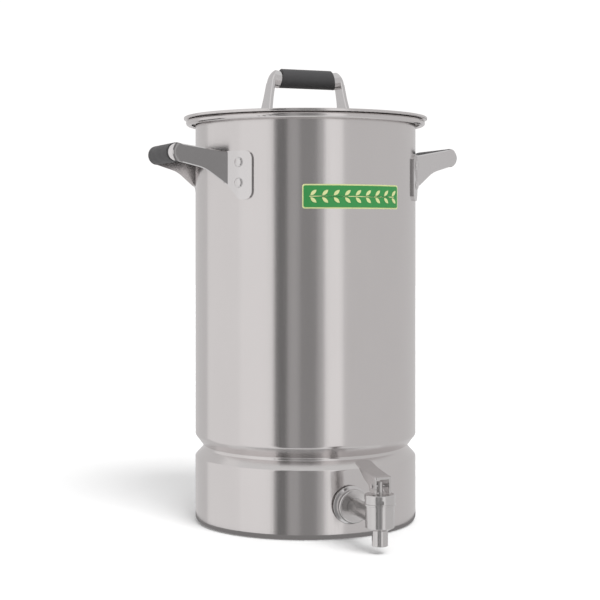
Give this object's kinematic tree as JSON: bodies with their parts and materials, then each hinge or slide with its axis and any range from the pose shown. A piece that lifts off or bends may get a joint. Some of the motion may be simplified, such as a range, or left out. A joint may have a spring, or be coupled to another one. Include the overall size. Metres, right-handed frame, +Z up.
{
  "type": "stainless steep-and-drain brewing vessel",
  "caption": "Tall stainless brewing vessel with a lift-off lid, two side handles, a lever tap low on the front and a lift-out perforated false bottom resting on an inner bead.",
  "frame": {"origin": "centre of the vessel's base, on the floor it stands on", "axes": "+Z up along the vessel's axis, -Y towards the front where the tap looks, +X towards the right-hand side handle as seen from behind the tap looking along +Y"},
  "size_m": [0.4264, 0.4319, 0.6206],
  "materials": {
    "brushed_steel": "vertically brushed satin",
    "polished_steel": "fine satin",
    "tap_steel": "satin cast and machined",
    "spring_steel": "plain drawn wire",
    "grip_silicone": "matte silicone",
    "seal_silicone": "matte translucent silicone",
    "badge_green": "satin enamel",
    "badge_cream": "satin enamel"
  },
  "bodies": {
    "vessel": {"vessel_shell": "brushed_steel", "vessel_rim": "brushed_steel", "tap_spout": "tap_steel", "badge_plate": "badge_cream", "badge_field": "badge_green", "handle_bracket_right": "polished_steel", "handle_bracket_left": "polished_steel", "handle_grip_right": "grip_silicone", "handle_grip_left": "grip_silicone", "handle_rivets_right": "polished_steel", "handle_rivets_left": "polished_steel", "tap_body": "tap_steel", "tap_outer_seal": "seal_silicone", "tap_escutcheon": "polished_steel", "tap_collar": "tap_steel", "tap_inner_seal": "seal_silicone", "tap_washer": "polished_steel", "tap_lock_nut": "tap_steel", "tap_bonnet": "tap_steel", "tap_spring": "spring_steel"},
    "stem": {"tap_stem": "tap_steel", "tap_seat_cup": "seal_silicone"},
    "lever": {"tap_lever": "tap_steel", "tap_lever_pin": "polished_steel"},
    "lid": {"lid_panel": "brushed_steel", "lid_plug_ring": "brushed_steel", "lid_handle_bracket": "polished_steel", "lid_handle_grip": "grip_silicone", "lid_handle_rivets": "polished_steel"},
    "strainer": {"strainer_plate": "brushed_steel", "strainer_seal": "seal_silicone", "strainer_lugs": "polished_steel"},
    "bail": {"strainer_bail": "polished_steel"}
  },
  "joints": [
    {"name": "lid_lift", "type": "slide", "parent": "vessel", "child": "lid", "axis": [0, 0, 1], "range_m": [0, 0.15]},
    {"name": "stem_lift", "type": "slide", "parent": "vessel", "child": "stem", "axis": [0, 0, 1], "range_m": [0, 0.006], "stiffness_N_per_m": 15, "springref_m": -0.006, "deforming": ["tap_spring"]},
    {"name": "tap_lever_turn", "type": "hinge", "parent": "stem", "child": "lever", "pos_m": [0, -0.244, 0.084], "axis": [1, 0, 0], "range_deg": [0, 80]},
    {"name": "strainer_lift", "type": "slide", "parent": "vessel", "child": "strainer", "axis": [0, 0, 1], "range_m": [0, 0.35]},
    {"name": "bail_turn", "type": "hinge", "parent": "strainer", "child": "bail", "pos_m": [0, 0, 0.12622], "axis": [1, 0, 0], "range_deg": [0, 180]}
  ],
  "couplings": [
    {"joint": "stem_lift", "follows": "tap_lever_turn", "m_per_rad": 0.00425}
  ]
}
